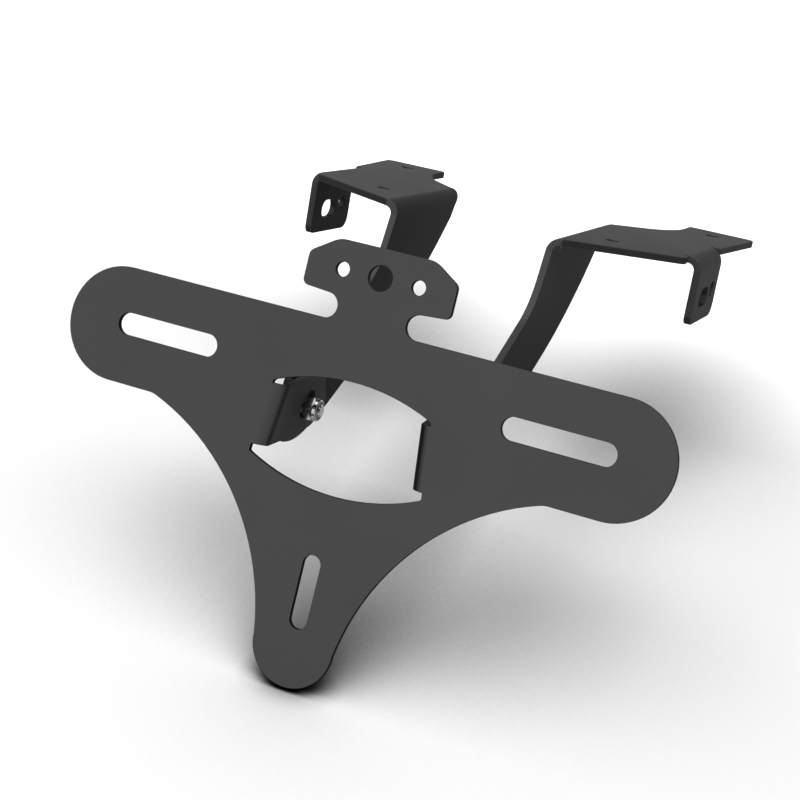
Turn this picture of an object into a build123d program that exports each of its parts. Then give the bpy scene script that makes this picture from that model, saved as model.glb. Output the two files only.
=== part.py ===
from build123d import *
from math import atan2, cos, degrees, pi, radians, sin, sqrt, tan
import os

os.makedirs("parts", exist_ok=True)

# Tail tidy, millimetres, Z up.  X runs across the plate and X = 0 is the mirror plane.
# Y points away from the viewer, toward the front of the motorbike.
# The plate bracket leans back, so it is drawn on its own plane: x across, y up the plate.

# Plate bracket, flat part
plate_lean = 33.77
plate_thickness = 2.5
wing_end_radius = 21.8
wing_end_x = 98.5
wing_centre_y = 11.9
wing_slot_x = 78.0
wing_slot_y = 12.7
wing_slot_length = 42.5
wing_slot_width = 8.5
leg_end_y = -84.4
leg_end_radius = 15.9
leg_slot_y = -64.5
leg_slot_length = 27.8
leg_slot_width = 7.1
side_arc_radius = 92.1
side_meet_x = 78.6
side_blend_radius = 10.0

# Lamp head on top of the plate
head_top_y = 62.9
head_half_width = 29.2
head_flat_half = 18.6
head_shoulder_y = 56.1
head_corner_y = 43.8
head_top_radius = 9.0
head_shoulder_radius = 3.0
head_corner_radius = 2.5
neck_notch_radius = 4.65
neck_notch_x = 18.3
lamp_hole_y = 52.2
lamp_hole_diameter = 9.5
lamp_screw_hole_x = 15.0
lamp_screw_hole_diameter = 5.5

# Window and the two ears folded back from its sides
window_top_y = 13.7
window_arc_y = -65.6
window_bottom_y = -28.2
window_top_corner = 2.0
window_bottom_corner = 1.0
fold_x_at_zero = 32.4
fold_slant = 6.46
fold_inner_radius = 2.5
ear_top_y = 5.9
ear_bottom_y = -17.7
ear_start_depth = 4.5
ear_top_corner_depth = 32.4
ear_top_corner_y = 13.4
ear_rear_corner_depth = 45.9
ear_rear_corner_y = -2.6
ear_lobe_corner_depth = 26.5
ear_lobe_y = -16.2
ear_lobe_flat = 1.0
ear_step_depth = 15.7
ear_step_y = -15.5
ear_lobe_radius = 25.0
ear_rear_radius = 6.0
ear_top_radius = 3.0

# Clamp bolt axis, measured behind the plate and up the plate
bolt_depth = 26.4
bolt_height = -2.3
bolt_diameter = 5.0
bolt_end_x = 20.9
bolt_tip_chamfer = 0.5
bolt_head_diameter = 9.5
bolt_head_height = 2.75
bolt_head_flat = 5.2
bolt_head_rim_share = 0.3
bolt_head_crown_share = 0.88
socket_across_flats = 3.0
socket_depth = 1.6
bolt_hole_diameter = 5.5
ear_slot_width = 7.6
ear_slot_top_depth = 27.6
ear_slot_top_y = 0.9
ear_slot_bottom_depth = 26.6
ear_slot_bottom_y = -2.9

# Nyloc nut and spacer
nut_across_flats = 8.6
nut_turn = 22.0
hexagon_sides = 6
nut_hex_height = 3.9
nut_height = 5.3
nut_base_x = 27.1
nut_collar_diameter = 8.4
nut_corner_chamfer = 0.4
insert_height = 1.3
insert_outer_diameter = 7.2
thread_clearance = 0.05
insert_seat_clearance = 0.02
spacer_diameter = 9.0
spacer_bore_diameter = 5.4
face_clearance = 0.02

# Hangers
hanger_thickness = 3.0
hanger_bend_inner_radius = 3.0
arm_inner_x = 32.2
top_slope = 23.28
top_origin_y = 138.77
top_origin_z = 12.75
tab_outer_x = 87.6
tab_front_s = 6.5
tab_rear_s = 44.2
tab_depth = 27.9
tab_front_radius = 3.5
tab_rear_radius = 5.5
tab_slot_s = 22.3
tab_slot_depth = 17.7
tab_slot_length = 14.0
tab_slot_width = 8.0
tab_hole_s = 35.4
tab_hole_depth = 15.6
tab_hole_diameter = 6.5
top_hole_diameter = 5.5
front_hole_x = 51.2
rear_hole_x = 74.05
rear_hole_s = 79.9
top_front_s = -26.2
top_corner_x = 82.0
top_corner_s = -1.0
top_corner_radius = 2.5
front_relief_depth = 1.8
rear_relief_depth = 0.3
front_relief_width = 2.8
rear_relief_width = 2.6
finger_start_x = 85.6
finger_end_x = 90.2
finger_end_s = 95.0
finger_outer_radius = 3.0
finger_inner_radius = 2.0
finger_inner_x = 60.2
hollow_start_s = 84.0
hollow_radius = 38.0
hollow_angle = 46.4
top_rear_s = 46.8
bend_rear_s = 39.2
bend_front_s = -27.0

# Arm outline, seen from the side as Y and Z
arm_end_depth = 17.4
arm_end_top_y = 7.0
arm_end_bottom_y = -12.0
arm_end_corner_depth = 44.7
arm_end_top_radius = 2.0
arm_end_bottom_radius = 6.0
arm_end_corner_radius = 12.0
arm_upper_knee_y = 60.4
arm_upper_knee_z = -3.2
arm_hollow_run = 42.83
arm_hollow_drop = 11.23
arm_hollow_radius = 30.0
arm_belly_start_y = 100.0
arm_belly_start_z = -29.1
arm_belly_end_run = 29.23
arm_belly_end_drop = 24.55
arm_belly_sag = 2.92

# Directions worked out from the angles above
lean_sin = sin(radians(plate_lean))
lean_cos = cos(radians(plate_lean))
slope_sin = sin(radians(top_slope))
slope_cos = cos(radians(top_slope))
slant_sin = sin(radians(fold_slant))
slant_cos = cos(radians(fold_slant))
plate_back = (0, lean_cos, -lean_sin)
plate_front = (0, -lean_cos, lean_sin)
slope_down = (0, slope_cos, -slope_sin)
slope_normal = (0, slope_sin, slope_cos)
top_origin = (0, top_origin_y, top_origin_z)
# How far the cutting shapes run past what they cut
cut_reach = 2 * head_half_width
long_reach = 2 * (top_origin_y + finger_end_s)

# Front of the plate, the side view of the plate, the hanger top and the hanger side view
plate_plane = Plane(origin=(0, 0, 0), x_dir=(1, 0, 0), z_dir=plate_front)
plate_side = Plane(origin=(0, 0, 0), x_dir=plate_back, z_dir=(1, 0, 0))
top_plane = Plane(origin=top_origin, x_dir=(1, 0, 0), z_dir=slope_normal)
top_section = Plane(origin=top_origin, x_dir=(1, 0, 0), z_dir=(0, -slope_cos, slope_sin))
top_side = Plane(origin=top_origin, x_dir=slope_down, z_dir=(1, 0, 0))


def filleted_polygon(corners):
    # corners: (x, y, radius), radius 0 leaves the corner sharp
    points = [(corner[0], corner[1]) for corner in corners]
    outline = make_face(Polyline(*points, close=True))
    for x, y, radius in corners:
        if radius > 0:
            corner_vertex = outline.vertices().sort_by_distance((x, y, 0))[0]
            outline = fillet(corner_vertex, radius)
    return outline


def plate_side_point(depth, height):
    # side view of the plate turned into Y and Z
    y = depth * lean_cos + height * lean_sin
    z = height * lean_cos - depth * lean_sin
    return (y, z)


def top_side_point(s, n):
    # side view of the hanger top turned into Y and Z
    y = top_origin_y + s * slope_cos + n * slope_sin
    z = top_origin_z - s * slope_sin + n * slope_cos
    return (y, z)


def fold_x(height):
    # where the ear fold starts on the front of the plate
    return fold_x_at_zero - height * tan(radians(fold_slant))


def lamp_head():
    base_y = wing_centre_y
    notch_y = wing_centre_y + wing_end_radius + neck_notch_radius
    notch_top_y = notch_y + neck_notch_radius
    half = [
        (head_flat_half, head_top_y, head_top_radius),
        (head_half_width, head_shoulder_y, head_shoulder_radius),
        (head_half_width, head_corner_y, head_corner_radius),
        (neck_notch_x, notch_top_y, 0),
        (neck_notch_x, base_y, 0),
    ]
    other_half = [(-x, y, radius) for x, y, radius in reversed(half)]
    head = filleted_polygon(half + other_half)
    for side in (-1, 1):
        head -= Pos(side * neck_notch_x, notch_y) * Circle(neck_notch_radius)
    return head


def plate_outline():
    wing_low_y = wing_centre_y - wing_end_radius
    wing = Pos(0, wing_centre_y) * Rectangle(2 * wing_end_x, 2 * wing_end_radius)
    for side in (-1, 1):
        wing += Pos(side * wing_end_x, wing_centre_y) * Circle(wing_end_radius)
    # each hollow side runs from the wing's lower edge to the side of the leg's round end
    run = side_meet_x - leg_end_radius
    rise = wing_low_y - leg_end_y
    chord = sqrt(run**2 + rise**2)
    back_off = sqrt(side_arc_radius**2 - (chord / 2)**2)
    side_arc_x = (side_meet_x + leg_end_radius) / 2 + back_off * rise / chord
    side_arc_y = (wing_low_y + leg_end_y) / 2 - back_off * run / chord
    body_middle_y = (wing_low_y + leg_end_y) / 2
    body = Pos(0, body_middle_y) * Rectangle(2 * side_meet_x, wing_low_y - leg_end_y)
    for side in (-1, 1):
        body -= Pos(side * side_arc_x, side_arc_y) * Circle(side_arc_radius)
    outline = wing + body
    for side in (-1, 1):
        meet = outline.vertices().sort_by_distance((side * side_meet_x, wing_low_y, 0))[0]
        outline = fillet(meet, side_blend_radius)
    outline += Pos(0, leg_end_y) * Circle(leg_end_radius)
    outline += lamp_head()
    return outline


def plate_window():
    top_radius = window_top_y - window_arc_y
    bottom_radius = lamp_hole_y - window_bottom_y
    lens = Pos(0, window_arc_y) * Circle(top_radius)
    lens &= Pos(0, lamp_hole_y) * Circle(bottom_radius)
    reach_y = 2 * wing_end_radius
    sides = filleted_polygon([
        (fold_x(-reach_y), -reach_y, 0),
        (fold_x(reach_y), reach_y, 0),
        (-fold_x(reach_y), reach_y, 0),
        (-fold_x(-reach_y), -reach_y, 0),
    ])
    window = lens & sides
    for vertex in window.vertices():
        radius = window_top_corner if vertex.Y > 0 else window_bottom_corner
        near = window.vertices().sort_by_distance((vertex.X, vertex.Y, 0))[0]
        window = fillet(near, radius)
    return window


def ear_outline():
    corners = [
        (-1, ear_top_y, 0),
        (ear_start_depth, ear_top_y, 0),
        (ear_top_corner_depth, ear_top_corner_y, ear_top_radius),
        (ear_rear_corner_depth, ear_rear_corner_y, ear_rear_radius),
        (ear_lobe_corner_depth, ear_lobe_y, ear_lobe_radius),
        (ear_step_depth + ear_lobe_flat, ear_lobe_y, 0),
        (ear_step_depth, ear_step_y, 0),
        (ear_start_depth, ear_bottom_y, 0),
        (-1, ear_bottom_y, 0),
    ]
    outline = filleted_polygon(corners)
    mid_depth = (ear_slot_top_depth + ear_slot_bottom_depth) / 2
    mid_y = (ear_slot_top_y + ear_slot_bottom_y) / 2
    run = ear_slot_top_depth - ear_slot_bottom_depth
    rise = ear_slot_top_y - ear_slot_bottom_y
    spacing = sqrt(run**2 + rise**2)
    slot = SlotCenterToCenter(spacing, ear_slot_width)
    tilt = degrees(atan2(rise, run))
    outline -= Pos(mid_depth, mid_y) * Rot(0, 0, tilt) * slot
    return outline


def right_ear():
    # section across the fold: x toward the mirror plane, y toward the back of the plate
    outer_radius = fold_inner_radius + plate_thickness
    origin = (fold_x_at_zero, 0, 0)
    inward = (-slant_cos, -slant_sin * lean_sin, -slant_sin * lean_cos)
    along_fold = (-slant_sin, slant_cos * lean_sin, slant_cos * lean_cos)
    section_plane = Plane(origin=origin, x_dir=inward, z_dir=along_fold)
    # the section's own y points forward, so depths are written as negative values
    ring = Pos(0, -outer_radius) * Circle(outer_radius)
    ring -= Pos(0, -outer_radius) * Circle(fold_inner_radius)
    quarter = Pos(outer_radius / 2, -outer_radius / 2) * Rectangle(outer_radius, outer_radius)
    flange_length = cut_reach - outer_radius
    flange_x = (fold_inner_radius + outer_radius) / 2
    flange = Pos(flange_x, -outer_radius - flange_length / 2)
    flange *= Rectangle(plate_thickness, flange_length)
    section = (ring & quarter) + flange
    sheet = extrude(section_plane * section, amount=cut_reach, both=True)
    outline = extrude(plate_side * ear_outline(), amount=cut_reach)
    return sheet & outline


def plate_bracket():
    face = plate_outline() - plate_window()
    for side in (-1, 1):
        slot = SlotOverall(wing_slot_length, wing_slot_width)
        face -= Pos(side * wing_slot_x, wing_slot_y) * slot
        face -= Pos(side * lamp_screw_hole_x, lamp_hole_y) * Circle(lamp_screw_hole_diameter / 2)
    face -= Pos(0, lamp_hole_y) * Circle(lamp_hole_diameter / 2)
    face -= Pos(0, leg_slot_y) * Rot(0, 0, 90) * SlotOverall(leg_slot_length, leg_slot_width)
    bracket = extrude(plate_plane * face, amount=-plate_thickness)
    ear = right_ear()
    return bracket + ear + mirror(ear, about=Plane.YZ)


def arm_outline():
    # side view of the arm as Y and Z, with the bend end overshooting the top plate
    end_top = plate_side_point(arm_end_depth, arm_end_top_y)
    end_bottom = plate_side_point(arm_end_depth, arm_end_bottom_y)
    end_corner = plate_side_point(arm_end_corner_depth, arm_end_bottom_y)
    bend_low_front = top_side_point(bend_front_s, -2 * hanger_bend_inner_radius)
    bend_high_front = top_side_point(top_front_s, 0)
    over_front = top_side_point(top_front_s, hanger_thickness)
    over_rear = top_side_point(top_rear_s, hanger_thickness)
    bend_high_rear = top_side_point(top_rear_s, 0)
    bend_low_rear = top_side_point(bend_rear_s, -2 * hanger_bend_inner_radius)
    knee = (arm_upper_knee_y, arm_upper_knee_z)
    hollow = (top_origin_y - arm_hollow_run, top_origin_z - arm_hollow_drop)
    belly_start = (arm_belly_start_y, arm_belly_start_z)
    belly_end_z = top_origin_z - arm_belly_end_drop
    belly_end = (top_origin_y + arm_belly_end_run, belly_end_z)
    belly_run = belly_end[0] - belly_start[0]
    belly_rise = belly_end[1] - belly_start[1]
    belly_chord = sqrt(belly_run**2 + belly_rise**2)
    belly_mid_y = (belly_start[0] + belly_end[0]) / 2 + arm_belly_sag * belly_rise / belly_chord
    belly_mid_z = (belly_start[1] + belly_end[1]) / 2 - arm_belly_sag * belly_run / belly_chord
    front = Polyline(belly_start, end_corner, end_bottom, end_top, knee, hollow,
                     bend_low_front, bend_high_front, over_front, over_rear,
                     bend_high_rear, bend_low_rear, belly_end)
    belly = ThreePointArc(belly_end, (belly_mid_y, belly_mid_z), belly_start)
    outline = make_face(front.edges() + [belly])
    rounded = [
        (end_top, arm_end_top_radius),
        (end_bottom, arm_end_bottom_radius),
        (end_corner, arm_end_corner_radius),
        (hollow, arm_hollow_radius),
    ]
    for point, radius in rounded:
        vertex = outline.vertices().sort_by_distance((point[0], point[1], 0))[0]
        outline = fillet(vertex, radius)
    hole = plate_side_point(bolt_depth, bolt_height)
    outline -= Pos(hole[0], hole[1]) * Circle(bolt_hole_diameter / 2)
    return outline


def bend_section(centre_x, side):
    # quarter ring, side -1 turns down toward the mirror plane, +1 away from it
    outer = hanger_bend_inner_radius + hanger_thickness
    ring = Circle(outer) - Circle(hanger_bend_inner_radius)
    quarter = Pos(side * outer / 2, outer / 2) * Rectangle(outer, outer)
    return Pos(centre_x, -outer) * (ring & quarter)


def hanger_arm():
    outer = hanger_bend_inner_radius + hanger_thickness
    wall_x = arm_inner_x + hanger_thickness / 2
    wall = Pos(wall_x, -outer - long_reach / 2) * Rectangle(hanger_thickness, long_reach)
    section = bend_section(arm_inner_x + outer, -1) + wall
    sheet = extrude(top_section * section, amount=long_reach, both=True)
    return sheet & extrude(Plane.YZ * arm_outline(), amount=cut_reach)


def hanger_top():
    outer = hanger_bend_inner_radius + hanger_thickness
    inner_x = arm_inner_x + outer
    tab_x = tab_outer_x - outer
    front_relief_s = tab_front_s - front_relief_width
    rear_relief_s = tab_rear_s + rear_relief_width
    hollow_end_x = finger_inner_x - hollow_radius * (1 - cos(radians(hollow_angle)))
    hollow_end_s = hollow_start_s - hollow_radius * sin(radians(hollow_angle))
    hollow_mid_x = finger_inner_x - hollow_radius * (1 - cos(radians(hollow_angle / 2)))
    hollow_mid_s = hollow_start_s - hollow_radius * sin(radians(hollow_angle / 2))
    edge = Polyline(
        (hollow_end_x, hollow_end_s),
        (inner_x, top_rear_s),
        (inner_x, top_front_s),
        (top_corner_x, top_corner_s),
        (top_corner_x, front_relief_s),
        (tab_x - front_relief_depth, front_relief_s),
        (tab_x - front_relief_depth, tab_front_s),
        (tab_x, tab_front_s),
        (tab_x, tab_rear_s),
        (tab_x - rear_relief_depth, tab_rear_s),
        (tab_x - rear_relief_depth, rear_relief_s),
        (finger_start_x, rear_relief_s),
        (finger_end_x, finger_end_s),
        (finger_inner_x, finger_end_s),
        (finger_inner_x, hollow_start_s),
    )
    hollow = ThreePointArc(
        (finger_inner_x, hollow_start_s),
        (hollow_mid_x, hollow_mid_s),
        (hollow_end_x, hollow_end_s),
    )
    outline = make_face(edge.edges() + [hollow])
    rounded = [
        ((top_corner_x, top_corner_s), top_corner_radius),
        ((finger_end_x, finger_end_s), finger_outer_radius),
        ((finger_inner_x, finger_end_s), finger_inner_radius),
    ]
    for point, radius in rounded:
        vertex = outline.vertices().sort_by_distance((point[0], point[1], 0))[0]
        outline = fillet(vertex, radius)
    outline -= Pos(front_hole_x, 0) * Circle(top_hole_diameter / 2)
    outline -= Pos(rear_hole_x, rear_hole_s) * Circle(top_hole_diameter / 2)
    return extrude(top_plane * outline, amount=-hanger_thickness)


def hanger_tab():
    outer = hanger_bend_inner_radius + hanger_thickness
    wall_x = tab_outer_x - hanger_thickness / 2
    wall = Pos(wall_x, -outer - cut_reach / 2) * Rectangle(hanger_thickness, cut_reach)
    section = bend_section(tab_outer_x - outer, 1) + wall
    sheet = extrude(top_section * section, amount=long_reach, both=True)
    outline = filleted_polygon([
        (tab_front_s, hanger_thickness, 0),
        (tab_rear_s, hanger_thickness, 0),
        (tab_rear_s, -tab_depth, tab_rear_radius),
        (tab_front_s, -tab_depth, tab_front_radius),
    ])
    outline -= Pos(tab_slot_s, -tab_slot_depth) * SlotOverall(tab_slot_length, tab_slot_width)
    outline -= Pos(tab_hole_s, -tab_hole_depth) * Circle(tab_hole_diameter / 2)
    return sheet & extrude(top_side * outline, amount=2 * cut_reach)


def right_hanger():
    return hanger_arm() + hanger_top() + hanger_tab()


def bolt_axis(x):
    # plane at a given X, facing away from the mirror plane, centred on the right clamp bolt
    y, z = plate_side_point(bolt_depth, bolt_height)
    return Plane(origin=(x, y, z), x_dir=(0, 1, 0), z_dir=(1, 0, 0))


def right_bolt():
    head_x = arm_inner_x + hanger_thickness
    shank_length = head_x - bolt_end_x
    shank = extrude(bolt_axis(bolt_end_x) * Circle(bolt_diameter / 2), amount=shank_length)
    tip = shank.faces().sort_by(Axis.X)[0].edges()
    shank = chamfer(tip, bolt_tip_chamfer)
    rim = bolt_head_diameter / 2
    rim_height = bolt_head_height * bolt_head_rim_share
    edge = Polyline((0, 0), (rim, 0), (rim, rim_height))
    crown = ThreePointArc(
        (rim, rim_height),
        (rim * bolt_head_crown_share, (rim_height + bolt_head_height) / 2),
        (bolt_head_flat / 2, bolt_head_height),
    )
    top = Polyline((bolt_head_flat / 2, bolt_head_height), (0, bolt_head_height), (0, 0))
    head_section = make_face(edge.edges() + [crown] + top.edges())
    head = revolve(Plane.XZ * head_section, axis=Axis.Z)
    head = bolt_axis(head_x).location * head
    socket = RegularPolygon(socket_across_flats / 2, hexagon_sides, major_radius=False)
    socket = extrude(bolt_axis(head_x + bolt_head_height) * socket, amount=-socket_depth)
    return shank + head - socket


def right_nut():
    half_flats = nut_across_flats / 2
    corner_radius = half_flats / cos(pi / hexagon_sides)
    hexagon = RegularPolygon(half_flats, hexagon_sides, major_radius=False, rotation=nut_turn)
    body = extrude(bolt_axis(nut_base_x) * hexagon, amount=-nut_hex_height)
    cone = extrude(bolt_axis(nut_base_x) * Circle(corner_radius), amount=-nut_hex_height)
    cone = chamfer(cone.edges().filter_by(GeomType.CIRCLE), nut_corner_chamfer)
    body &= cone
    collar_x = nut_base_x - nut_hex_height
    collar_height = nut_height - nut_hex_height
    collar = extrude(bolt_axis(collar_x) * Circle(nut_collar_diameter / 2), amount=-collar_height)
    collar = fillet(collar.edges().sort_by(Axis.X)[0], nut_corner_chamfer)
    bore = Circle(bolt_diameter / 2 + thread_clearance)
    nut = body + collar - extrude(bolt_axis(nut_base_x) * bore, amount=-nut_height)
    seat = Circle(insert_outer_diameter / 2)
    seat_x = nut_base_x - nut_height + insert_height
    return nut - extrude(bolt_axis(seat_x) * seat, amount=-insert_height)


def right_insert():
    outer = insert_outer_diameter / 2 - insert_seat_clearance
    ring = Circle(outer) - Circle(bolt_diameter / 2 + thread_clearance / 2)
    seat_x = nut_base_x - nut_height + insert_height - insert_seat_clearance
    height = insert_height - 4 * insert_seat_clearance
    return extrude(bolt_axis(seat_x) * ring, amount=-height)


def right_spacer():
    ring = Circle(spacer_diameter / 2) - Circle(spacer_bore_diameter / 2)
    length = arm_inner_x - nut_base_x
    tube = extrude(bolt_axis(arm_inner_x - face_clearance) * ring, amount=-length)
    outer_face = fold_inner_radius - face_clearance
    origin = (fold_x_at_zero, 0, 0)
    inward = (-slant_cos, -slant_sin * lean_sin, -slant_sin * lean_cos)
    along_fold = (-slant_sin, slant_cos * lean_sin, slant_cos * lean_cos)
    section_plane = Plane(origin=origin, x_dir=inward, z_dir=along_fold)
    block = Pos(outer_face + cut_reach / 2, 0) * Rectangle(cut_reach, 2 * cut_reach)
    return tube - extrude(section_plane * block, amount=cut_reach, both=True)


def save(name, piece):
    # the row's origin is the midpoint between the front fixing holes, on the top faces
    placed = Pos(0, -top_origin_y, -top_origin_z) * piece
    solids = placed.solids()
    print(name, "solids", len(solids), "volume", round(sum(s.volume for s in solids), 1))
    export_step(solids[0], "parts/" + name + ".step")


right_pieces = {
    "hanger": right_hanger(),
    "clamp_bolt": right_bolt(),
    "clamp_nut": right_nut(),
    "nut_insert": right_insert(),
    "spacer": right_spacer(),
}
save("plate_bracket", plate_bracket())
for piece_name, piece in right_pieces.items():
    save("right_" + piece_name, piece)
    save("left_" + piece_name, mirror(piece, about=Plane.YZ))
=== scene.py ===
from math import atan2, hypot, pi, radians, sqrt

import bpy
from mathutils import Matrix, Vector


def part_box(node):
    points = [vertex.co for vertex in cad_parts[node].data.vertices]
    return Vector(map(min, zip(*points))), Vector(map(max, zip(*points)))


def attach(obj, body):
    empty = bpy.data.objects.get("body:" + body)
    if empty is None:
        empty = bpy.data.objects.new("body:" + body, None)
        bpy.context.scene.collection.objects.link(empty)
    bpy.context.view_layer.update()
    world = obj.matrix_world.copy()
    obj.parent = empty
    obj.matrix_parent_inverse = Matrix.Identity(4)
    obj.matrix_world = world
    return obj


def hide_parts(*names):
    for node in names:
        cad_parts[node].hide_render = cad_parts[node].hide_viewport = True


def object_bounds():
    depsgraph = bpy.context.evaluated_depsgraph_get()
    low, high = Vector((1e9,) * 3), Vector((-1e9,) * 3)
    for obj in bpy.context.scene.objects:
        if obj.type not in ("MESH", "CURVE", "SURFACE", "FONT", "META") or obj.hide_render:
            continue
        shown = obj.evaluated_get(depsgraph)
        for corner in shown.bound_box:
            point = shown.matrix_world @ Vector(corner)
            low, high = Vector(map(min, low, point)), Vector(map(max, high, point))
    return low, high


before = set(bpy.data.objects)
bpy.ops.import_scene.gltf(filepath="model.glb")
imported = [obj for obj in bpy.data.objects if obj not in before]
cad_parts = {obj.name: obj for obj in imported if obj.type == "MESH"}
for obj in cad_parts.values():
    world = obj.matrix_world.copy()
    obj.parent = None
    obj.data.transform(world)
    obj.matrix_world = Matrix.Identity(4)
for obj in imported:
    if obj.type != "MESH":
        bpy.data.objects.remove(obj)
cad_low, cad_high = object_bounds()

scene = bpy.context.scene
scene.view_settings.view_transform = "Standard"

# Camera.  It stands in front of the plate, to its right and above it, and looks down over the
# lamp head at the two hangers.  Long lens, level horizon.
camera_data = bpy.data.cameras.new("camera")
camera_data.sensor_width = 36.0
camera_data.lens = 78.017
camera_data.clip_start = 0.05
camera_data.clip_end = 20.0
camera = bpy.data.objects.new("camera", camera_data)
scene.collection.objects.link(camera)
camera.location = (0.228793, -0.582680, 0.359403)
camera.rotation_euler = (radians(53.9481), 0.0, radians(25.0463))
scene.camera = camera

# Floor.  A plain white sheet just under the tip of the leg.  It takes the soft shadows of the
# part, and painted shade darkens it close to the part.  Where it is seen or mirrored, it is lifted
# to white away from the part, so that its edge never shows.
bpy.ops.object.select_all(action="DESELECT")
floor_gap = 0.0001
floor_width = 14.0
bpy.ops.mesh.primitive_plane_add(size=floor_width, location=(0.0, 0.0, cad_low.z - floor_gap))
floor = bpy.context.object
floor.name = "floor"
floor_paint = bpy.data.materials.new("white_floor")
floor_paint.use_nodes = True
nodes = floor_paint.node_tree.nodes
links = floor_paint.node_tree.links
shader = nodes["Principled BSDF"]
shader.inputs["Roughness"].default_value = 1.0
shader.inputs["Specular IOR Level"].default_value = 0.0
# painted shade: the floor colour is darker where the part stands over it, and darkest where the
# leg touches it
contact = nodes.new("ShaderNodeAmbientOcclusion")
contact.samples = 12
contact.inputs["Distance"].default_value = 0.10
painted_shade_tone = nodes.new("ShaderNodeValToRGB")
painted_shade_tone.color_ramp.elements[0].position = 0.45
painted_shade_tone.color_ramp.elements[0].color = (0.03, 0.03, 0.03, 1.0)
painted_shade_tone.color_ramp.elements[1].position = 0.98
painted_shade_tone.color_ramp.elements[1].color = (0.93, 0.93, 0.93, 1.0)
links.new(contact.outputs["AO"], painted_shade_tone.inputs["Fac"])
touch = nodes.new("ShaderNodeAmbientOcclusion")
touch.samples = 8
touch.inputs["Distance"].default_value = 0.010
contact_shade_line = nodes.new("ShaderNodeMapRange")
contact_shade_line.inputs["From Min"].default_value = 0.55
contact_shade_line.inputs["From Max"].default_value = 0.97
contact_shade_line.inputs["To Min"].default_value = 0.05
links.new(touch.outputs["AO"], contact_shade_line.inputs["Value"])
shaded = nodes.new("ShaderNodeVectorMath")
shaded.operation = "SCALE"
links.new(painted_shade_tone.outputs["Color"], shaded.inputs[0])
links.new(contact_shade_line.outputs["Result"], shaded.inputs["Scale"])
links.new(shaded.outputs["Vector"], shader.inputs["Base Color"])
# the lift to white: a strength of 1 far from the part, less behind it, and none under it
shader.inputs["Emission Color"].default_value = (1.0, 1.0, 1.0, 1.0)
place = nodes.new("ShaderNodeTexCoord")
reach = nodes.new("ShaderNodeVectorMath")
reach.operation = "DISTANCE"
reach.inputs[1].default_value = (-0.03, -0.10, 0.0)
links.new(place.outputs["Object"], reach.inputs[0])
far = nodes.new("ShaderNodeMapRange")
far.inputs["From Min"].default_value = 0.25
far.inputs["From Max"].default_value = 0.80
links.new(reach.outputs["Value"], far.inputs["Value"])
across = nodes.new("ShaderNodeSeparateXYZ")
links.new(place.outputs["Object"], across.inputs[0])
behind = nodes.new("ShaderNodeMapRange")
behind.inputs["From Min"].default_value = 0.015
behind.inputs["From Max"].default_value = 0.12
behind.inputs["To Max"].default_value = 0.5
links.new(across.outputs["Y"], behind.inputs["Value"])
whole = nodes.new("ShaderNodeMath")
whole.operation = "ADD"
links.new(far.outputs["Result"], whole.inputs[0])
links.new(behind.outputs["Result"], whole.inputs[1])
# only what the camera, a gloss or a clear piece sees is lifted, so no light is added to the part
ray = nodes.new("ShaderNodeLightPath")
lift = nodes.new("ShaderNodeMath")
lift.operation = "MULTIPLY"
seen = nodes.new("ShaderNodeMath")
seen.operation = "MAXIMUM"
links.new(ray.outputs["Is Camera Ray"], seen.inputs[0])
links.new(ray.outputs["Is Glossy Ray"], seen.inputs[1])
seen_through = nodes.new("ShaderNodeMath")
seen_through.operation = "MAXIMUM"
links.new(seen.outputs[0], seen_through.inputs[0])
links.new(ray.outputs["Is Transmission Ray"], seen_through.inputs[1])
links.new(seen_through.outputs[0], lift.inputs[0])
links.new(whole.outputs[0], lift.inputs[1])
links.new(lift.outputs[0], shader.inputs["Emission Strength"])
floor.data.materials.append(floor_paint)

# Studio light.  A dim white room with a wide round soft box overhead and five smaller ones, in
# front, at the front left, on both sides and at the back left.  All of them face the part.
world = bpy.data.worlds.new("grey_room")
scene.world = world
world.use_nodes = True
world.node_tree.nodes["Background"].inputs["Color"].default_value = (1.0, 1.0, 1.0, 1.0)
world.node_tree.nodes["Background"].inputs["Strength"].default_value = 0.12
aim = Vector((0.0, 0.02, -0.05))
for name, place, size, power in (
    ("overhead_soft_box", Vector((0.0, 0.05, 1.55)), 2.0, 25.0),
    ("front_soft_box", Vector((0.0, -1.48, 0.50)), 1.1, 4.6),
    ("front_left_soft_box", Vector((-0.73, -0.71, 1.18)), 1.1, 2.1),
    ("left_soft_box", Vector((-1.22, 0.02, 0.98)), 1.1, 4.0),
    ("right_soft_box", Vector((1.22, 0.02, 0.98)), 1.1, 2.0),
    ("back_left_soft_box", Vector((-0.87, 0.89, 0.98)), 1.1, 1.9),
):
    lamp_data = bpy.data.lights.new(name, "AREA")
    lamp_data.shape = "DISK"
    lamp_data.size = size
    lamp_data.energy = power
    lamp = bpy.data.objects.new(name, lamp_data)
    scene.collection.objects.link(lamp)
    lamp.location = place
    lamp.rotation_euler = (aim - place).to_track_quat("-Z", "Y").to_euler()

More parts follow.
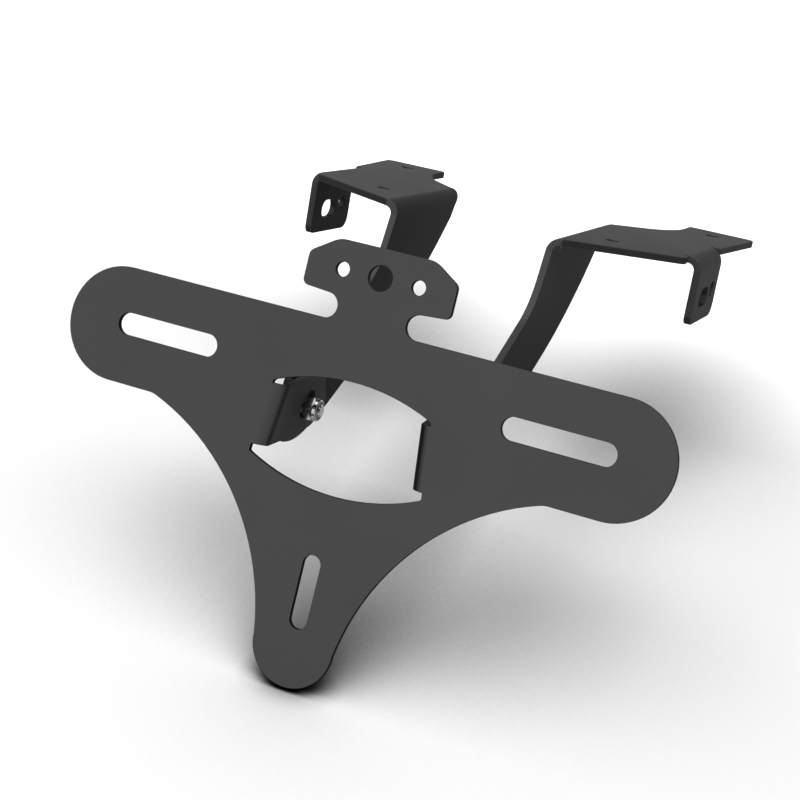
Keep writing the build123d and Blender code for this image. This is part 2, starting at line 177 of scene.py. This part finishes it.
# Plate bracket.  Laser-cut steel sheet with the lamp head above, the window in the middle and the
# leg below, its two ears folded back on a press brake.  Satin black powder coat all over.
def black_powder_coat(name, dark, pale, edge_highlight_grey, painted_shading_grey, painted_shading_way, none_at, full_at):
    # Fine orange peel over a slightly cloudy black, with a paler painted highlight on the smoother
    # edges.
    # Faces take on a flat grey by how far they look along one given way, nothing at none_at and
    # all of
    # it at full_at: painted shade where the grey is darker than the coat, painted light where it
    # is paler.
    coat = bpy.data.materials.new(name)
    coat.use_nodes = True
    nodes = coat.node_tree.nodes
    links = coat.node_tree.links
    shader = nodes["Principled BSDF"]
    shader.inputs["Specular IOR Level"].default_value = 0.004
    place = nodes.new("ShaderNodeTexCoord")

    cloud = nodes.new("ShaderNodeTexNoise")
    cloud.inputs["Scale"].default_value = 22.0
    cloud.inputs["Detail"].default_value = 3.0
    links.new(place.outputs["Object"], cloud.inputs["Vector"])
    speck = nodes.new("ShaderNodeTexNoise")
    speck.inputs["Scale"].default_value = 2600.0
    speck.inputs["Detail"].default_value = 1.0
    links.new(place.outputs["Object"], speck.inputs["Vector"])
    blend = nodes.new("ShaderNodeMath")
    blend.operation = "MULTIPLY_ADD"
    blend.inputs[1].default_value = 0.45
    links.new(speck.outputs["Fac"], blend.inputs[0])
    links.new(cloud.outputs["Fac"], blend.inputs[2])
    tone = nodes.new("ShaderNodeValToRGB")
    tone.color_ramp.elements[0].position = 0.45
    tone.color_ramp.elements[0].color = (dark, dark, dark * 1.01, 1.0)
    tone.color_ramp.elements[1].position = 1.0
    tone.color_ramp.elements[1].color = (pale, pale, pale * 1.01, 1.0)
    links.new(blend.outputs[0], tone.inputs["Fac"])

    facing = nodes.new("ShaderNodeNewGeometry")
    rounded = nodes.new("ShaderNodeBevel")
    rounded.samples = 6
    rounded.inputs["Radius"].default_value = 0.0007
    turned = nodes.new("ShaderNodeVectorMath")
    turned.operation = "DOT_PRODUCT"
    links.new(facing.outputs["True Normal"], turned.inputs[0])
    links.new(rounded.outputs["Normal"], turned.inputs[1])
    edge = nodes.new("ShaderNodeMapRange")
    edge.inputs["From Min"].default_value = 0.99
    edge.inputs["From Max"].default_value = 0.80
    links.new(turned.outputs["Value"], edge.inputs["Value"])
    # painted highlight: the edges take a paler grey
    painted_edge_highlight = nodes.new("ShaderNodeMix")
    painted_edge_highlight.data_type = "RGBA"
    painted_edge_highlight.inputs["B"].default_value = (edge_highlight_grey, edge_highlight_grey, edge_highlight_grey, 1.0)
    links.new(edge.outputs["Result"], painted_edge_highlight.inputs["Factor"])
    links.new(tone.outputs["Color"], painted_edge_highlight.inputs["A"])
    toward = nodes.new("ShaderNodeVectorMath")
    toward.operation = "DOT_PRODUCT"
    toward.inputs[1].default_value = painted_shading_way
    links.new(facing.outputs["True Normal"], toward.inputs[0])
    painted_shading_mask = nodes.new("ShaderNodeMapRange")
    painted_shading_mask.name = "painted_shading_mask"
    painted_shading_mask.inputs["From Min"].default_value = none_at
    painted_shading_mask.inputs["From Max"].default_value = full_at
    links.new(toward.outputs["Value"], painted_shading_mask.inputs["Value"])
    painted_shading_mix = nodes.new("ShaderNodeMix")
    painted_shading_mix.name = "painted_shading_mix"
    painted_shading_mix.data_type = "RGBA"
    painted_shading_mix.inputs["B"].default_value = (painted_shading_grey, painted_shading_grey, painted_shading_grey, 1.0)
    links.new(painted_shading_mask.outputs["Result"], painted_shading_mix.inputs["Factor"])
    links.new(painted_edge_highlight.outputs["Result"], painted_shading_mix.inputs["A"])
    links.new(painted_shading_mix.outputs["Result"], shader.inputs["Base Color"])

    gloss = nodes.new("ShaderNodeMapRange")
    gloss.inputs["To Min"].default_value = 0.38
    gloss.inputs["To Max"].default_value = 0.48
    links.new(cloud.outputs["Fac"], gloss.inputs["Value"])
    smoother = nodes.new("ShaderNodeMath")
    smoother.operation = "MULTIPLY_ADD"
    smoother.inputs[1].default_value = -0.12
    links.new(edge.outputs["Result"], smoother.inputs[0])
    links.new(gloss.outputs["Result"], smoother.inputs[2])
    links.new(smoother.outputs[0], shader.inputs["Roughness"])

    peel = nodes.new("ShaderNodeTexNoise")
    peel.inputs["Scale"].default_value = 1100.0
    peel.inputs["Detail"].default_value = 2.0
    links.new(place.outputs["Object"], peel.inputs["Vector"])
    relief = nodes.new("ShaderNodeBump")
    relief.inputs["Strength"].default_value = 0.12
    relief.inputs["Distance"].default_value = 0.0002
    links.new(peel.outputs["Fac"], relief.inputs["Height"])
    links.new(relief.outputs["Normal"], shader.inputs["Normal"])
    return coat


def rounded_copy(node_name, piece_name, edge_radius, finish):
    # the CAD solid as one joined skin, with every sharp edge broken by a small radius
    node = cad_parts[node_name]
    piece = bpy.data.objects.new(piece_name, node.data.copy())
    scene.collection.objects.link(piece)
    bpy.ops.object.select_all(action="DESELECT")
    piece.select_set(True)
    bpy.context.view_layer.objects.active = piece
    bpy.ops.object.mode_set(mode="EDIT")
    bpy.ops.mesh.select_all(action="SELECT")
    bpy.ops.mesh.remove_doubles(threshold=0.000001)
    bpy.ops.mesh.dissolve_limited(angle_limit=radians(0.4))
    bpy.ops.object.mode_set(mode="OBJECT")
    broken_edge = piece.modifiers.new("broken_edge", "BEVEL")
    broken_edge.width = edge_radius
    broken_edge.segments = 3
    broken_edge.limit_method = "ANGLE"
    broken_edge.angle_limit = radians(40)
    broken_edge.use_clamp_overlap = False
    bpy.ops.object.modifier_apply(modifier="broken_edge")
    bpy.ops.object.shade_smooth_by_angle(angle=radians(32))
    flat_faces = piece.modifiers.new("flat_faces", "WEIGHTED_NORMAL")
    flat_faces.keep_sharp = True
    flat_faces.weight = 80
    bpy.ops.object.modifier_apply(modifier="flat_faces")
    piece.data.materials.clear()
    piece.data.materials.append(finish)
    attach(piece, "root")
    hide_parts(node_name)
    return piece


# painted shade: the plate's faces that turn away from the front, its cut sides, hole walls and
# back, are painted near black; its edges get a slightly paler painted highlight
plate_coat = black_powder_coat(
    "plate_black_coat",
    dark=0.069,
    pale=0.075,
    edge_highlight_grey=0.085,
    painted_shading_grey=0.010,
    painted_shading_way=(0.4104, -0.7581, 0.5068),
    none_at=0.88,
    full_at=0.56,
)
# its near-black painted shade, on the cut sides, hole walls and back, ends a little behind the
# sheet, so the ears keep the colour of the face
sheet_front = -0.10827
painted_shade_full_to = 0.0034
painted_shade_fade_by = 0.0062
backwards = (0.0, 0.8313, -0.5558)
nodes = plate_coat.node_tree.nodes
links = plate_coat.node_tree.links
depth = nodes.new("ShaderNodeVectorMath")
depth.operation = "DOT_PRODUCT"
depth.inputs[1].default_value = backwards
links.new(nodes["Texture Coordinate"].outputs["Object"], depth.inputs[0])
painted_shade_in_sheet = nodes.new("ShaderNodeMapRange")
painted_shade_in_sheet.inputs["From Min"].default_value = painted_shade_fade_by + sheet_front
painted_shade_in_sheet.inputs["From Max"].default_value = painted_shade_full_to + sheet_front
links.new(depth.outputs["Value"], painted_shade_in_sheet.inputs["Value"])
both = nodes.new("ShaderNodeMath")
both.operation = "MULTIPLY"
links.new(painted_shade_in_sheet.outputs["Result"], both.inputs[0])
links.new(nodes["painted_shading_mask"].outputs["Result"], both.inputs[1])
links.new(both.outputs[0], nodes["painted_shading_mix"].inputs["Factor"])
plate_edge = 0.00022
rounded_copy("plate_bracket", "plate_bracket_coated", plate_edge, plate_coat)

# Hangers.  Thicker laser-cut steel sheet, each one blank with the arm folded down from its top
# plate and a tab with two holes folded down outside.  The same powder coat in a deeper black,
# with painted light that makes it paler where an edge looks forward and up, and a painted
# highlight on its edges.  One clamp bolt holds each to an ear of the plate.
hanger_coat = black_powder_coat(
    "hanger_black_coat",
    dark=0.029,
    pale=0.032,
    edge_highlight_grey=0.14,
    painted_shading_grey=0.08,
    painted_shading_way=(0.0, -0.6, 0.8),
    none_at=0.80,
    full_at=0.95,
)
hanger_edge = 0.00035
for side in ("left", "right"):
    rounded_copy(
        side + "_hanger", side + "_hanger_coated", hanger_edge, hanger_coat
    )

# Spacers.  Short turned steel tubes on the clamp bolts, between each ear and its hanger, cut on
# the slant where they meet the ear.  Zinc plated, with fine rings from the lathe.
def bright_zinc(name, pale, dull, ring_scale):
    # patches of brighter and duller plate, with the rings that the lathe leaves across the axis
    zinc = bpy.data.materials.new(name)
    zinc.use_nodes = True
    nodes = zinc.node_tree.nodes
    links = zinc.node_tree.links
    shader = nodes["Principled BSDF"]
    shader.inputs["Metallic"].default_value = 1.0
    place = nodes.new("ShaderNodeTexCoord")
    patch = nodes.new("ShaderNodeTexNoise")
    patch.inputs["Scale"].default_value = 420.0
    patch.inputs["Detail"].default_value = 4.0
    links.new(place.outputs["Object"], patch.inputs["Vector"])
    tone = nodes.new("ShaderNodeValToRGB")
    tone.color_ramp.elements[0].position = 0.3
    tone.color_ramp.elements[0].color = (dull, dull, dull * 1.02, 1.0)
    tone.color_ramp.elements[1].position = 0.7
    tone.color_ramp.elements[1].color = (pale, pale, pale * 1.02, 1.0)
    links.new(patch.outputs["Fac"], tone.inputs["Fac"])
    links.new(tone.outputs["Color"], shader.inputs["Base Color"])
    gloss = nodes.new("ShaderNodeMapRange")
    gloss.inputs["To Min"].default_value = 0.14
    gloss.inputs["To Max"].default_value = 0.26
    links.new(patch.outputs["Fac"], gloss.inputs["Value"])
    links.new(gloss.outputs["Result"], shader.inputs["Roughness"])
    rings = nodes.new("ShaderNodeTexWave")
    rings.wave_type = "BANDS"
    rings.bands_direction = "X"
    rings.inputs["Scale"].default_value = ring_scale
    rings.inputs["Distortion"].default_value = 1.5
    links.new(place.outputs["Object"], rings.inputs["Vector"])
    relief = nodes.new("ShaderNodeBump")
    relief.inputs["Strength"].default_value = 0.06
    relief.inputs["Distance"].default_value = 0.00003
    links.new(rings.outputs["Fac"], relief.inputs["Height"])
    links.new(relief.outputs["Normal"], shader.inputs["Normal"])
    return zinc


spacer_zinc = bright_zinc("spacer_zinc", pale=0.55, dull=0.42, ring_scale=1400.0)
spacer_edge = 0.00012
for side in ("left", "right"):
    rounded_copy(
        side + "_spacer", side + "_spacer_turned", spacer_edge, spacer_zinc
    )

# Clamp nuts.  Lock nuts, forged as a hexagon with turned corners and a round collar, which is
# rolled over a nylon ring.  Bright zinc plate.  Each pulls its ear and hanger together.
nut_zinc = bright_zinc("nut_zinc", pale=0.44, dull=0.34, ring_scale=900.0)
nut_low, nut_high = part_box("right_clamp_nut")
bolt_low, bolt_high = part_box("right_clamp_bolt")
axis_y = (bolt_low.y + bolt_high.y) / 2
axis_z = (bolt_low.z + bolt_high.z) / 2
across_flats = 0.0086
across_corners = across_flats * 2 / sqrt(3)
corner_bevel = 0.0006
blank_spare = 0.00002
nut_turn = radians(-22)
collar_height = 0.0014
collar_width = 0.0084
collar_rounding = 0.00045
collar_root = 0.0004
nut_bore = 0.0051
nut_edge = 0.00014
ring_width = 0.0072
ring_height = 0.0012
overrun = 0.001
hexagon_low = nut_low.x + collar_height


def add_round(vertices, diameter, low_x, high_x, ends="NGON"):
    # a cylinder that lies along the bolt, from one X to another
    bpy.ops.object.select_all(action="DESELECT")
    bpy.ops.mesh.primitive_cylinder_add(
        vertices=vertices, radius=diameter / 2, depth=high_x - low_x, end_fill_type=ends,
        location=((low_x + high_x) / 2, axis_y, axis_z), rotation=(0.0, pi / 2, 0.0),
    )
    bpy.ops.object.transform_apply(location=True, rotation=True, scale=True)
    return bpy.context.object


def select_end(piece, x):
    # the flat end of a lying cylinder at this X, in edit mode
    bpy.ops.object.mode_set(mode="EDIT")
    bpy.ops.mesh.select_mode(type="FACE")
    bpy.ops.mesh.select_all(action="DESELECT")
    bpy.ops.object.mode_set(mode="OBJECT")
    for face in piece.data.polygons:
        face.select = abs(face.center.x - x) < 0.00002 and abs(face.normal.x) > 0.9
    bpy.ops.object.mode_set(mode="EDIT")


def cut_with(piece, tool, operation):
    # joins a second body to the piece or cuts it away, and uses it up
    cut = piece.modifiers.new("cut", "BOOLEAN")
    cut.operation = operation
    cut.solver = "EXACT"
    cut.object = tool
    bpy.ops.object.select_all(action="DESELECT")
    piece.select_set(True)
    bpy.context.view_layer.objects.active = piece
    bpy.ops.object.modifier_apply(modifier="cut")
    bpy.data.objects.remove(tool)


def finish_small(piece, name, finish, node_name, edge_radius):
    # joins its skin, breaks its edges and lets it stand for its CAD node
    bpy.ops.object.select_all(action="DESELECT")
    piece.select_set(True)
    bpy.context.view_layer.objects.active = piece
    bpy.ops.object.mode_set(mode="EDIT")
    bpy.ops.mesh.select_all(action="SELECT")
    bpy.ops.mesh.remove_doubles(threshold=0.000002)
    bpy.ops.mesh.normals_make_consistent(inside=False)
    bpy.ops.object.mode_set(mode="OBJECT")
    if edge_radius:
        broken_edge = piece.modifiers.new("broken_edge", "BEVEL")
        broken_edge.width = edge_radius
        broken_edge.segments = 2
        broken_edge.limit_method = "ANGLE"
        broken_edge.angle_limit = radians(25)
        broken_edge.use_clamp_overlap = True
        bpy.ops.object.modifier_apply(modifier="broken_edge")
    bpy.ops.object.shade_smooth_by_angle(angle=radians(30))
    piece.name = name
    piece.data.materials.clear()
    piece.data.materials.append(finish)
    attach(piece, "root")
    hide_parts(node_name)


def mirrored(piece):
    # the same piece for the left side, with a mesh of its own
    bpy.ops.object.select_all(action="DESELECT")
    twin = bpy.data.objects.new("twin", piece.data.copy())
    scene.collection.objects.link(twin)
    twin.select_set(True)
    bpy.context.view_layer.objects.active = twin
    twin.scale.x = -1.0
    bpy.ops.object.transform_apply(location=False, rotation=False, scale=True)
    bpy.ops.object.mode_set(mode="EDIT")
    bpy.ops.mesh.select_all(action="SELECT")
    bpy.ops.mesh.normals_make_consistent(inside=False)
    bpy.ops.object.mode_set(mode="OBJECT")
    return twin


nut = add_round(6, across_corners, hexagon_low, nut_high.x)
bpy.ops.object.mode_set(mode="EDIT")
bpy.ops.mesh.select_all(action="SELECT")
bpy.ops.transform.rotate(
    value=nut_turn, orient_axis="X", center_override=(nut_high.x, axis_y, axis_z)
)
bpy.ops.object.mode_set(mode="OBJECT")
turned_blank = add_round(96, across_corners + blank_spare, hexagon_low, nut_high.x)
for end_x in (hexagon_low, nut_high.x):
    select_end(turned_blank, end_x)
    bpy.ops.mesh.bevel(offset=corner_bevel, offset_type="OFFSET", segments=1, affect="EDGES")
    bpy.ops.object.mode_set(mode="OBJECT")
cut_with(nut, turned_blank, "INTERSECT")
collar = add_round(72, collar_width, nut_low.x, hexagon_low + collar_root)
select_end(collar, nut_low.x)
bpy.ops.mesh.bevel(offset=collar_rounding, offset_type="OFFSET", segments=4, affect="EDGES")
bpy.ops.object.mode_set(mode="OBJECT")
cut_with(nut, collar, "UNION")
ring_seat = add_round(72, ring_width, nut_low.x - overrun, nut_low.x + ring_height)
cut_with(nut, ring_seat, "DIFFERENCE")
bore = add_round(48, nut_bore, nut_low.x - overrun, nut_high.x + overrun)
cut_with(nut, bore, "DIFFERENCE")
left_nut = mirrored(nut)
finish_small(nut, "right_lock_nut", nut_zinc, "right_clamp_nut", nut_edge)
finish_small(left_nut, "left_lock_nut", nut_zinc, "left_clamp_nut", nut_edge)

# Nylon rings.  Dark grey moulded rings, held in the collars of the lock nuts.  Each grips the
# thread of its bolt, so that the nut can't shake loose.
ring_bore = 0.00502
ring_edge = 0.00015
nylon = bpy.data.materials.new("dark_nylon")
nylon.use_nodes = True
nodes = nylon.node_tree.nodes
links = nylon.node_tree.links
shader = nodes["Principled BSDF"]
shader.inputs["Roughness"].default_value = 0.45
shader.inputs["Subsurface Weight"].default_value = 0.1
shader.inputs["Subsurface Scale"].default_value = 0.0008
place = nodes.new("ShaderNodeTexCoord")
cloudy = nodes.new("ShaderNodeTexNoise")
cloudy.inputs["Scale"].default_value = 900.0
cloudy.inputs["Detail"].default_value = 2.0
links.new(place.outputs["Object"], cloudy.inputs["Vector"])
tone = nodes.new("ShaderNodeValToRGB")
tone.color_ramp.elements[0].color = (0.08, 0.08, 0.085, 1.0)
tone.color_ramp.elements[1].color = (0.12, 0.12, 0.125, 1.0)
links.new(cloudy.outputs["Fac"], tone.inputs["Fac"])
links.new(tone.outputs["Color"], shader.inputs["Base Color"])
ring_low, ring_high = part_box("right_nut_insert")
ring = add_round(64, ring_high.y - ring_low.y, ring_low.x, ring_high.x)
ring_hole = add_round(48, ring_bore, ring_low.x - overrun, ring_high.x + overrun)
cut_with(ring, ring_hole, "DIFFERENCE")
left_ring = mirrored(ring)
finish_small(ring, "right_nylon_ring", nylon, "right_nut_insert", ring_edge)
finish_small(left_ring, "left_nylon_ring", nylon, "left_nut_insert", ring_edge)

# Clamp bolts.  Button head screws with a hexagon socket, rolled thread up to near the head.
# They pass through the hanger, the spacer and the ear, and the tip stands out of the nut.
bolt_zinc = bright_zinc("bolt_zinc", pale=0.46, dull=0.36, ring_scale=700.0)
thread_width = 0.005
thread_pitch = 0.0008
thread_depth = 0.00045
flank_slope = 1.35
crest_share = 0.15
rings_per_turn = 8
tip_bevel = 0.0006
tip_slope = 0.9
plain_length = 0.004
shank_lap = 0.0002
head_lap = 0.0005
head_rounding = 0.0019
socket_width = 0.003
socket_depth = 0.0016
hanger_thickness = 0.003
tip_x = bolt_low.x
under_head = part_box("right_hanger")[0].x + hanger_thickness
thread_end = under_head - plain_length
ring_count = round((thread_end - tip_x) / thread_pitch * rings_per_turn)
bolt = add_round(48, thread_width, tip_x, thread_end)
# the long edges are cut into rings, and the rings are then drawn in along the thread
bpy.ops.object.mode_set(mode="EDIT")
bpy.ops.mesh.select_mode(type="EDGE")
bpy.ops.mesh.select_all(action="DESELECT")
bpy.ops.object.mode_set(mode="OBJECT")
for edge in bolt.data.edges:
    ends = [bolt.data.vertices[index].co.x for index in edge.vertices]
    edge.select = abs(ends[0] - ends[1]) > thread_pitch
bpy.ops.object.mode_set(mode="EDIT")
bpy.ops.mesh.subdivide(number_cuts=ring_count - 1)
bpy.ops.object.mode_set(mode="OBJECT")
for vertex in bolt.data.vertices:
    dy = vertex.co.y - axis_y
    dz = vertex.co.z - axis_z
    turn = ((vertex.co.x - tip_x) / thread_pitch + atan2(dz, dy) / (2 * pi)) % 1.0
    groove = flank_slope * (1.0 - abs(2.0 * turn - 1.0)) - crest_share
    groove = min(1.0, max(0.0, groove))
    radius = thread_width / 2 - thread_depth * groove
    from_tip = vertex.co.x - tip_x
    radius = min(radius, thread_width / 2 - tip_bevel + from_tip * tip_slope)
    scale = radius / hypot(dy, dz)
    vertex.co.y = axis_y + dy * scale
    vertex.co.z = axis_z + dz * scale
plain_shank = add_round(48, thread_width, thread_end - shank_lap, under_head + head_lap)
cut_with(bolt, plain_shank, "UNION")
head = add_round(96, bolt_high.y - bolt_low.y, under_head, bolt_high.x)
select_end(head, bolt_high.x)
bpy.ops.mesh.bevel(
    offset=head_rounding, offset_type="OFFSET", segments=8, profile=0.5, affect="EDGES"
)
bpy.ops.object.mode_set(mode="OBJECT")
socket_corners = socket_width * 2 / sqrt(3)
socket = add_round(6, socket_corners, bolt_high.x - socket_depth, bolt_high.x + overrun)
cut_with(head, socket, "DIFFERENCE")
cut_with(bolt, head, "UNION")
left_bolt = mirrored(bolt)
finish_small(bolt, "right_button_bolt", bolt_zinc, "right_clamp_bolt", 0)
finish_small(left_bolt, "left_button_bolt", bolt_zinc, "left_clamp_bolt", 0)

bpy.context.view_layer.update()
